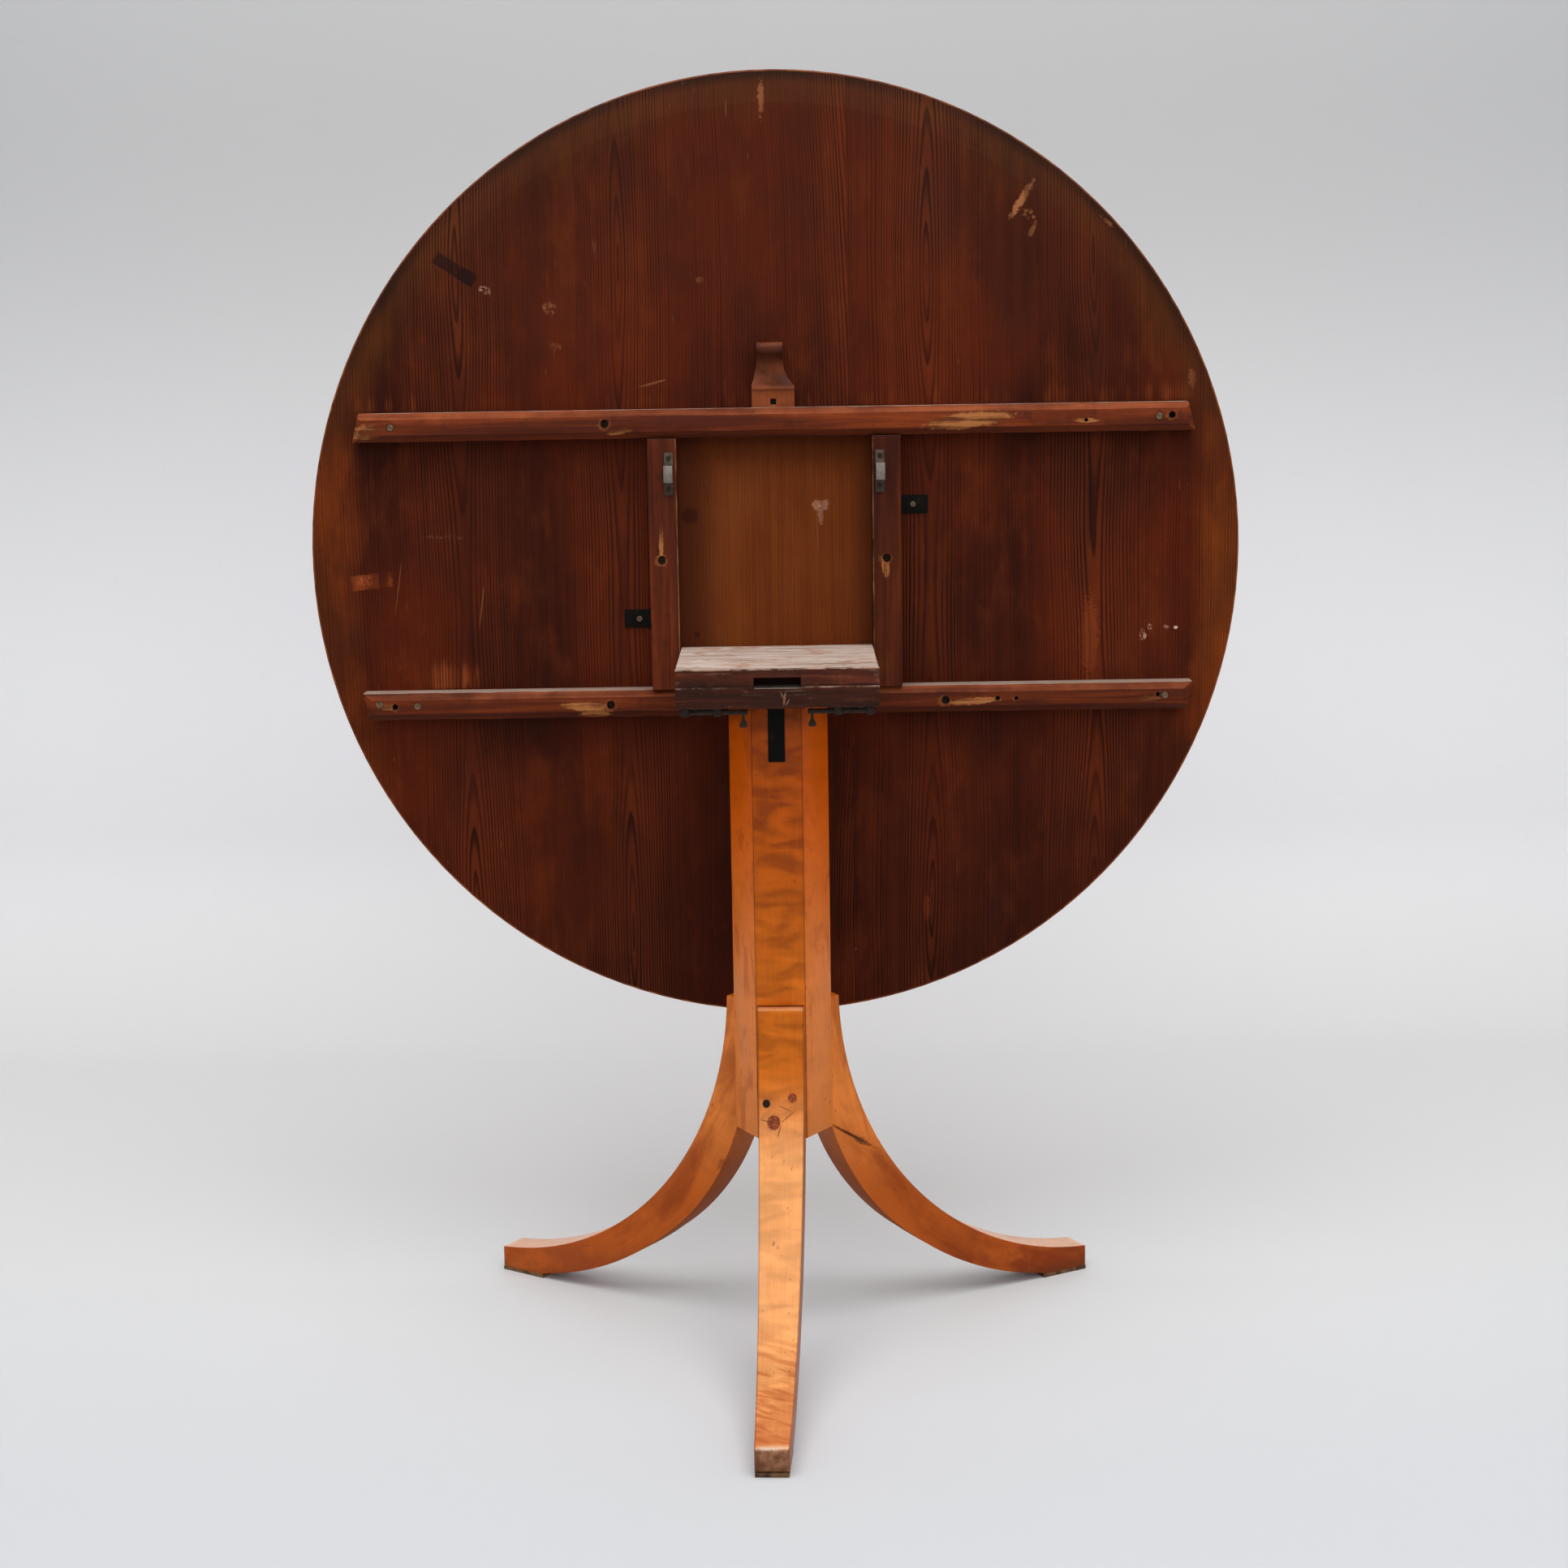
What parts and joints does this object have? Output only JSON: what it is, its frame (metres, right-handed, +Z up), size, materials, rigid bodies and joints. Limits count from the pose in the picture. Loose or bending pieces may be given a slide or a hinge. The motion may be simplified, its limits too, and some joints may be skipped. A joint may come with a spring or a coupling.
{
  "type": "tilt top table",
  "caption": "Round wooden tilt-top table on a hexagonal column with curved legs; the top tips upright on two pivot pins and is held down by a wooden catch and sliding bolts.",
  "frame": {"origin": "on the floor under the column's axis", "axes": "+Z up; -Y the side the front leg points to and the upright top's underside faces; +X to the right of that leg"},
  "size_m": [0.9979, 0.5932, 1.3254],
  "materials": {
    "polished_birch": "shellac polished figured birch",
    "worn_foot_wood": "bare worn wood",
    "plug_wood": "satin",
    "dark_birch": "worn dark stain",
    "stained_pine": "dull red-brown stain",
    "stained_batten": "worn red-brown stain",
    "birch_veneer": "shellac polished",
    "steel": "tarnished",
    "black_iron": "black, dull"
  },
  "bodies": {
    "stand": {"column": "polished_birch", "leg_front": "polished_birch", "leg_back_right": "polished_birch", "leg_back_left": "polished_birch", "foot_pad_front": "worn_foot_wood", "foot_pad_back_right": "worn_foot_wood", "foot_pad_back_left": "worn_foot_wood", "foot_nails": "steel", "leg_plugs": "plug_wood", "leg_screws": "steel", "pivot_block": "dark_birch", "iron_strap": "black_iron", "strap_screws": "black_iron", "bolt_plate_left": "steel", "bolt_plate_right": "steel", "plate_screws": "steel"},
    "tabletop": {"top_board_1": "stained_pine", "top_board_2": "stained_pine", "top_board_3": "stained_pine", "top_board_4": "stained_pine", "top_board_5": "stained_pine", "top_board_6": "stained_pine", "top_board_7": "stained_pine", "edge_band": "birch_veneer", "top_veneer": "birch_veneer", "batten_upper": "stained_batten", "batten_lower": "stained_batten", "batten_left": "stained_batten", "batten_right": "stained_batten", "batten_screws": "steel", "pivot_pin_left": "steel", "pivot_pin_right": "steel", "keeper_left": "steel", "keeper_right": "steel", "keeper_screws": "steel", "bracket_left": "black_iron", "bracket_right": "black_iron", "bracket_screws": "steel"},
    "bolt_left": {"bolt_rod_left": "steel", "bolt_knob_left": "steel"},
    "bolt_right": {"bolt_rod_right": "steel", "bolt_knob_right": "steel"},
    "catch": {"catch_bolt": "stained_batten"}
  },
  "joints": [
    {"name": "top_tilt", "type": "hinge", "parent": "stand", "child": "tabletop", "pos_m": [0, 0.1137, 0.708], "axis": [1, 0, 0], "range_deg": [0, 90]},
    {"name": "bolt_left_slide", "type": "slide", "parent": "stand", "child": "bolt_left", "axis": [-1, 0, 0], "range_m": [0, 0.0175]},
    {"name": "bolt_right_slide", "type": "slide", "parent": "stand", "child": "bolt_right", "axis": [1, 0, 0], "range_m": [0, 0.0175]},
    {"name": "catch_slide", "type": "slide", "parent": "tabletop", "child": "catch", "axis": [0, 0, -1], "range_m": [0, 0.0185]}
  ]
}
